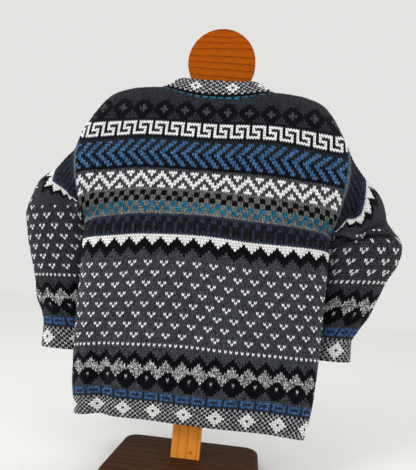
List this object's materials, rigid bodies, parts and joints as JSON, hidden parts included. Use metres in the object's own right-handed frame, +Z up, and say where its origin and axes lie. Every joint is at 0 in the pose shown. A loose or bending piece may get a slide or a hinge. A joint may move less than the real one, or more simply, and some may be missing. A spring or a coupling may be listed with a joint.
{
  "type": "fair isle sweater on a wooden display stand",
  "caption": "Hand-knitted wool pullover with bands of traditional pattern, hung open over a wooden stand with a round head board and a lacquered base.",
  "frame": {"origin": "middle of the stand base's underside, on the floor", "axes": "+Z up along the post, the sweater's back faces -Y, +X to the wearer's right"},
  "size_m": [0.8417, 0.275, 0.9605],
  "materials": {
    "wool_back": "charcoal heather knit with white, blue and black bands",
    "wool_front": "charcoal heather knit with white, blue and black bands",
    "wool_sleeve_left": "charcoal heather knit with white, blue and black bands",
    "wool_sleeve_right": "charcoal heather knit with white, blue and black bands",
    "wool_neckband": "dark and white lattice knit",
    "walnut": "glossy dark brown lacquer",
    "pine_post": "clear satin varnish",
    "pine_shoulders": "clear satin varnish",
    "pine_head": "orange-brown satin varnish"
  },
  "bodies": {
    "root": {"back": "wool_back", "front": "wool_front", "sleeve_left": "wool_sleeve_left", "sleeve_right": "wool_sleeve_right", "neckband": "wool_neckband", "stand_base": "walnut", "stand_post": "pine_post", "stand_shoulders": "pine_shoulders", "stand_head": "pine_head"}
  },
  "joints": []
}
